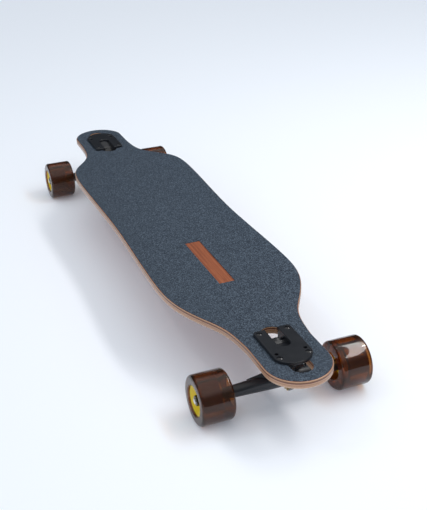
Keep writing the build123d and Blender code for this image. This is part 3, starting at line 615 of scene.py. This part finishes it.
def make_powder_texture():
    """Powder coat orange peel and slow unevenness."""
    group, entry, leave = shader_group(
        "powder_texture",
        [("Vector", "NodeSocketVector", (0, 0, 0)), ("Scale", "NodeSocketFloat", 900.0)],
        [("Peel", "NodeSocketFloat"), ("Uneven", "NodeSocketFloat")],
    )
    for output, rate, detail in (("Peel", 1.0, 2.0), ("Uneven", 0.06, 4.0)):
        noise = group.nodes.new("ShaderNodeTexNoise")
        noise.inputs["Detail"].default_value = detail
        group.links.new(entry.outputs["Vector"], noise.inputs["Vector"])
        scale = math_node(group, "MULTIPLY", entry.outputs["Scale"], rate)
        group.links.new(scale, noise.inputs["Scale"])
        group.links.new(noise.outputs["Fac"], leave.inputs[output])
    return group


powder_texture = make_powder_texture()


def coated(name, dark, light, roughness, scale=900.0, peel=0.00004, metallic=0.0):
    """A coated, plated or moulded finish: two close tones, uneven gloss and a fine peel."""
    made, tree, shader = new_material(name)
    texture = place_group(tree, powder_texture, Vector=object_coordinates(tree), Scale=scale)
    colour = mix_colours(tree, texture.outputs["Uneven"], dark, light)
    tree.links.new(colour, shader.inputs["Base Color"])
    gloss = math_node(tree, "MULTIPLY_ADD", texture.outputs["Uneven"], 0.16, roughness - 0.08)
    tree.links.new(gloss, shader.inputs["Roughness"])
    shader.inputs["Metallic"].default_value = metallic
    add_bump(tree, shader, texture.outputs["Peel"], peel, 0.6)
    return made


black_casting = coated("black_casting", (0.006, 0.007, 0.009), (0.013, 0.014, 0.018), 0.36)
black_steel = coated("black_steel", (0.005, 0.005, 0.006), (0.012, 0.012, 0.014), 0.22, 1500.0)
zinc_steel = coated(
    "zinc_steel", (0.62, 0.45, 0.16), (0.82, 0.66, 0.34), 0.3, 700.0, 0.00002, 1.0
)
bright_steel = coated(
    "bright_steel", (0.52, 0.53, 0.55), (0.72, 0.73, 0.75), 0.24, 800.0, 0.00001, 1.0
)
shield_steel = coated(
    "shield_steel", (0.05, 0.05, 0.055), (0.12, 0.12, 0.13), 0.35, 900.0, 0.00001, 0.8
)
bushing_urethane = coated(
    "bushing_urethane", (0.012, 0.012, 0.014), (0.028, 0.028, 0.03), 0.45, 400.0
)
pivot_nylon = coated("pivot_nylon", (0.018, 0.018, 0.02), (0.035, 0.035, 0.037), 0.5, 500.0)
ball_steel = coated("ball_steel", (0.7, 0.7, 0.72), (0.8, 0.8, 0.82), 0.1, 600.0, 0.000002, 1.0)
cage_nylon = coated("cage_nylon", (0.2, 0.15, 0.08), (0.3, 0.24, 0.15), 0.5, 700.0)

# ---- truck hardware ---------------------------------------------------------------------
# Kingpins, screws and nuts are black oxide steel, the kingpin nut is yellow zinc, and the
# axle, its washers and the bearing rings are bright steel.

for end in ("front", "rear"):
    finishes = {
        "baseplate": black_casting, "hanger": black_casting,
        "deck_bolts": black_steel, "deck_nuts": black_steel, "kingpin": black_steel,
        "kingpin_nut": zinc_steel, "bushing_washers": black_steel, "axle_nuts": black_steel,
        "boardside_bushing": bushing_urethane, "roadside_bushing": bushing_urethane,
        "pivot_cup": pivot_nylon, "axle": bright_steel, "speed_washers": bright_steel,
        "bearing_spacers": bright_steel, "bearing_inner_rings": bright_steel,
    }
    for piece, material in finishes.items():
        finish_node(f"{end}_{piece}", material)

# ---- threads ----------------------------------------------------------------------------
# The axles and deck screws are cut with threads where their nuts go. The ridges that stand
# clear of each nut are modelled, one small ring for each turn.


def make_thread_tree():
    """Geometry nodes for a row of thread ridges up a bar."""
    tree = bpy.data.node_groups.new("thread_ridges", "GeometryNodeTree")
    for name, kind, value in (
        ("Radius", "NodeSocketFloat", 0.004), ("Pitch", "NodeSocketFloat", 0.001),
        ("Turns", "NodeSocketInt", 3), ("Ridge", "NodeSocketFloat", 0.0003),
    ):
        tree.interface.new_socket(name, in_out="INPUT", socket_type=kind).default_value = value
    tree.interface.new_socket("Material", in_out="INPUT", socket_type="NodeSocketMaterial")
    tree.interface.new_socket("Geometry", in_out="OUTPUT", socket_type="NodeSocketGeometry")
    entry, leave = tree.nodes.new("NodeGroupInput"), tree.nodes.new("NodeGroupOutput")
    row = tree.nodes.new("GeometryNodeMeshLine")
    step = tree.nodes.new("ShaderNodeCombineXYZ")
    turn, wire = (tree.nodes.new("GeometryNodeCurvePrimitiveCircle") for _ in range(2))
    turn.inputs["Resolution"].default_value = 32
    wire.inputs["Resolution"].default_value = 6
    ridge = tree.nodes.new("GeometryNodeCurveToMesh")
    copies = tree.nodes.new("GeometryNodeInstanceOnPoints")
    real = tree.nodes.new("GeometryNodeRealizeInstances")
    paint = tree.nodes.new("GeometryNodeSetMaterial")
    for source, target in (
        (entry.outputs["Turns"], row.inputs["Count"]),
        (entry.outputs["Pitch"], step.inputs["Z"]),
        (step.outputs["Vector"], row.inputs["Offset"]),
        (entry.outputs["Radius"], turn.inputs["Radius"]),
        (entry.outputs["Ridge"], wire.inputs["Radius"]),
        (turn.outputs["Curve"], ridge.inputs["Curve"]),
        (wire.outputs["Curve"], ridge.inputs["Profile Curve"]),
        (row.outputs["Mesh"], copies.inputs["Points"]),
        (ridge.outputs["Mesh"], copies.inputs["Instance"]),
        (copies.outputs["Instances"], real.inputs["Geometry"]),
        (real.outputs["Geometry"], paint.inputs["Geometry"]),
        (entry.outputs["Material"], paint.inputs["Material"]),
        (paint.outputs["Geometry"], leave.inputs["Geometry"]),
    ):
        tree.links.new(source, target)
    return tree


thread_tree = make_thread_tree()


def evaluated_tree(tree, **values):
    """The mesh that a geometry node tree makes with these inputs."""
    holder = scene_object("holder", bpy.data.meshes.new("holder"))
    modifier = holder.modifiers.new("tree", "NODES")
    modifier.node_group = tree
    for item in tree.interface.items_tree:
        if item.item_type == "SOCKET" and item.in_out == "INPUT" and item.name in values:
            modifier[item.identifier] = values[item.name]
    depsgraph = bpy.context.evaluated_depsgraph_get()
    data = bpy.data.meshes.new_from_object(holder.evaluated_get(depsgraph))
    bpy.data.objects.remove(holder)
    return data


def joined(name, pieces, material):
    """One mesh from several (mesh, matrix) pairs, with one material."""
    mesh = bmesh.new()
    for data, matrix in pieces:
        placed = data.copy()
        placed.transform(matrix)
        mesh.from_mesh(placed)
    bmesh.ops.recalc_face_normals(mesh, faces=mesh.faces)
    data = bpy.data.meshes.new(name)
    mesh.to_mesh(data)
    mesh.free()
    data.polygons.foreach_set("use_smooth", [True] * len(data.polygons))
    data.materials.append(material)
    for polygon in data.polygons:
        polygon.material_index = 0
    return scene_object(name, data)


def middle_of(node):
    """The middle of a CAD node's box."""
    low, high = (Vector(corner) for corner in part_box(node))
    return (low + high) / 2


AXLE_THREAD_START, SCREW_THREAD_START = 0.0003, 0.0002
AXLE_THREAD = evaluated_tree(
    thread_tree, Radius=0.00385, Pitch=0.00055, Turns=3, Ridge=0.0002, Material=bright_steel
)
SCREW_THREAD = evaluated_tree(
    thread_tree, Radius=0.0023, Pitch=0.0004, Turns=4, Ridge=0.00016, Material=black_steel
)
for end, sign in (("front", 1), ("rear", -1)):
    centre = middle_of(f"{end}_axle")
    ends = []
    for side in (-1, 1):
        turn = Matrix.Rotation(-side * math.pi / 2, 4, "X")
        nut_face = side * (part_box(f"{end}_axle_nuts")[1][1] + AXLE_THREAD_START)
        ends.append((AXLE_THREAD, Matrix.Translation((centre.x, nut_face, centre.z)) @ turn))
    threads = joined(f"{end}_axle_threads", ends, bright_steel)
    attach(threads, f"{end}_hanger")
    screw_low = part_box(f"{end}_deck_bolts")[0][2]
    tip = screw_low + SCREW_THREAD_START
    tips = [
        (SCREW_THREAD, Matrix.Translation((sign * x, side * SCREW_Y, tip)))
        for x in (SCREW_ROW_X[0], SCREW_ROW_X[2])
        for side in (-1, 1)
    ]
    threads = joined(f"{end}_screw_threads", tips, black_steel)
    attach(threads, "deck")

# ---- wheels -----------------------------------------------------------------------------
# Each wheel is a clear amber urethane tyre poured round a yellow moulded core. The lips
# are rounded, the outer face is dished down to the core, and the core holds the bearings.

TURN_STEPS = 128
WHEEL_RADIUS, LIP_ROUND, MOUTH_ROUND = 0.035, 0.0046, 0.0016
MOUTH_RADIUS, FOOT_RADIUS, DISH_DEPTH = 0.022, 0.0214, 0.0028
BACK_MOUTH_RADIUS, BACK_FLARE, BACK_STEP = 0.017, 0.003, 0.002
CORE_RADIUS, CORE_GAP = 0.0212, 0.00004


def corner_arc(points, index, radius, steps=8):
    """The points of a rounded corner of an outline."""
    here = Vector(points[index])
    before = (Vector(points[index - 1]) - here).normalized()
    after = (Vector(points[(index + 1) % len(points)]) - here).normalized()
    half = before.angle(after) / 2
    reach = radius / math.tan(half)
    centre = here + (before + after).normalized() * (radius / math.sin(half))
    start, end = here + before * reach - centre, here + after * reach - centre
    arc = []
    for n in range(steps + 1):
        share = n / steps
        sweep = start.angle(end)
        spoke = math.sin((1 - share) * sweep) * start + math.sin(share * sweep) * end
        arc.append(tuple(centre + spoke / math.sin(sweep)))
    return arc


def rounded_outline(points, rounds):
    """An outline of (radius, place) points with some corners rounded."""
    outline = []
    for n, point in enumerate(points):
        outline += corner_arc(points, n, rounds[n]) if n in rounds else [point]
    return outline


def turned_on_axle(name, outline, centre, outwards):
    """A closed solid of revolution about the axle; places run outwards from the middle."""
    mesh = bmesh.new()
    rings = []
    for n in range(TURN_STEPS):
        turn = 2 * math.pi * n / TURN_STEPS
        rings.append([
            mesh.verts.new((
                centre.x + radius * math.cos(turn),
                outwards * place,
                centre.z + radius * math.sin(turn),
            ))
            for radius, place in outline
        ])
    for n in range(TURN_STEPS):
        one, two = rings[n], rings[(n + 1) % TURN_STEPS]
        for k in range(len(outline)):
            after = (k + 1) % len(outline)
            mesh.faces.new((one[k], one[after], two[after], two[k]))
    bmesh.ops.recalc_face_normals(mesh, faces=mesh.faces)
    data = bpy.data.meshes.new(name)
    mesh.to_mesh(data)
    mesh.free()
    smooth_by_angle(data, 30)
    return scene_object(name, data)


def make_amber():
    """Clear amber urethane: the colour is in the depth, and light casts it on the floor."""
    made, tree, shader = new_material("amber_urethane")
    texture = place_group(tree, powder_texture, Vector=object_coordinates(tree), Scale=220.0)
    tint = mix_colours(tree, texture.outputs["Uneven"], (0.26, 0.10, 0.035), (0.46, 0.20, 0.06))
    tree.links.new(tint, shader.inputs["Base Color"])
    shader.inputs["Transmission Weight"].default_value = 0.96
    shader.inputs["Roughness"].default_value = 0.045
    shader.inputs["IOR"].default_value = 1.48
    depth = tree.nodes.new("ShaderNodeVolumeAbsorption")
    depth.inputs["Color"].default_value = (0.80, 0.64, 0.07, 1)
    depth.inputs["Density"].default_value = 125
    output = tree.nodes["Material Output"]
    tree.links.new(depth.outputs["Volume"], output.inputs["Volume"])
    through = tree.nodes.new("ShaderNodeBsdfTransparent")
    through.inputs["Color"].default_value = (0.82, 0.60, 0.12, 1)
    ray = tree.nodes.new("ShaderNodeLightPath")
    either = tree.nodes.new("ShaderNodeMixShader")
    tree.links.new(ray.outputs["Is Shadow Ray"], either.inputs["Fac"])
    tree.links.new(shader.outputs["BSDF"], either.inputs[1])
    tree.links.new(through.outputs["BSDF"], either.inputs[2])
    tree.links.new(either.outputs["Shader"], output.inputs["Surface"])
    add_bump(tree, shader, texture.outputs["Peel"], 0.00005, 0.3)
    return made


def make_yellow():
    """The core: yellow at its ends; where the tyre covers it, painted shade makes it dark amber,
    with a few painted glints.
    """
    made, tree, shader = new_material("yellow_core")
    texture = place_group(tree, powder_texture, Vector=object_coordinates(tree), Scale=260.0)
    dish = mix_colours(tree, texture.outputs["Uneven"], (0.58, 0.38, 0.003), (0.78, 0.56, 0.01))
    facing = tree.nodes.new("ShaderNodeSeparateXYZ")
    tree.links.new(tree.nodes.new("ShaderNodeTexCoord").outputs["Normal"], facing.inputs["Vector"])
    along_axle = math_node(tree, "ABSOLUTE", facing.outputs["Y"])
    end_face = math_node(tree, "GREATER_THAN", along_axle, 0.5)
    # Where the tyre covers the core, its side colour is painted shade, dark amber, and the bright
    # spots on it are painted glints.
    glints = place_group(tree, powder_texture, Vector=object_coordinates(tree), Scale=70.0)
    painted_glint_spots = math_node(tree, "POWER", glints.outputs["Uneven"], 3.0)
    side = mix_colours(tree, painted_glint_spots, (0.03, 0.012, 0.001), (0.75, 0.36, 0.02))
    tree.links.new(mix_colours(tree, end_face, side, dish), shader.inputs["Base Color"])
    shader.inputs["Subsurface Weight"].default_value = 0.5
    shader.inputs["Subsurface Radius"].default_value = (0.006, 0.004, 0.001)
    shader.inputs["Subsurface Scale"].default_value = 1.0
    shader.inputs["Roughness"].default_value = 0.3
    add_bump(tree, shader, texture.outputs["Peel"], 0.00004, 0.4)
    return made


amber_urethane = make_amber()
yellow_core = make_yellow()

for end in ("front", "rear"):
    for side, outwards in (("left", 1), ("right", -1)):
        wheel = f"{end}_{side}"
        body = f"{wheel}_wheel"
        low, high = (Vector(corner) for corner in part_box(f"{wheel}_tyre"))
        centre = (low + high) / 2
        inner_face, outer_face = sorted((abs(low.y), abs(high.y)))
        core_inner = min(abs(corner[1]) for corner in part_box(f"{wheel}_core"))
        foot = outer_face - DISH_DEPTH
        bore = CORE_RADIUS + CORE_GAP
        tyre_outline = rounded_outline(
            [
                (WHEEL_RADIUS, inner_face), (WHEEL_RADIUS, outer_face), (MOUTH_RADIUS, outer_face),
                (FOOT_RADIUS, foot), (bore, foot), (bore, core_inner + BACK_STEP),
                (BACK_MOUTH_RADIUS + CORE_GAP, core_inner),
                (BACK_MOUTH_RADIUS + BACK_FLARE, inner_face),
            ],
            {0: LIP_ROUND, 1: LIP_ROUND, 2: MOUTH_ROUND, 7: MOUTH_ROUND},
        )
        tyre = turned_on_axle(f"{wheel}_tyre_cast", tyre_outline, centre, outwards)
        tyre.data.materials.append(amber_urethane)
        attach(tyre, body)
        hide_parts(f"{wheel}_tyre")
        finish_node(f"{wheel}_core", yellow_core)
        finish_node(f"{wheel}_bearing_outer_rings", bright_steel)
        finish_node(f"{wheel}_bearing_shields", shield_steel)
        finish_node(f"{wheel}_bearing_balls", ball_steel)
        finish_node(f"{wheel}_bearing_cages", cage_nylon)
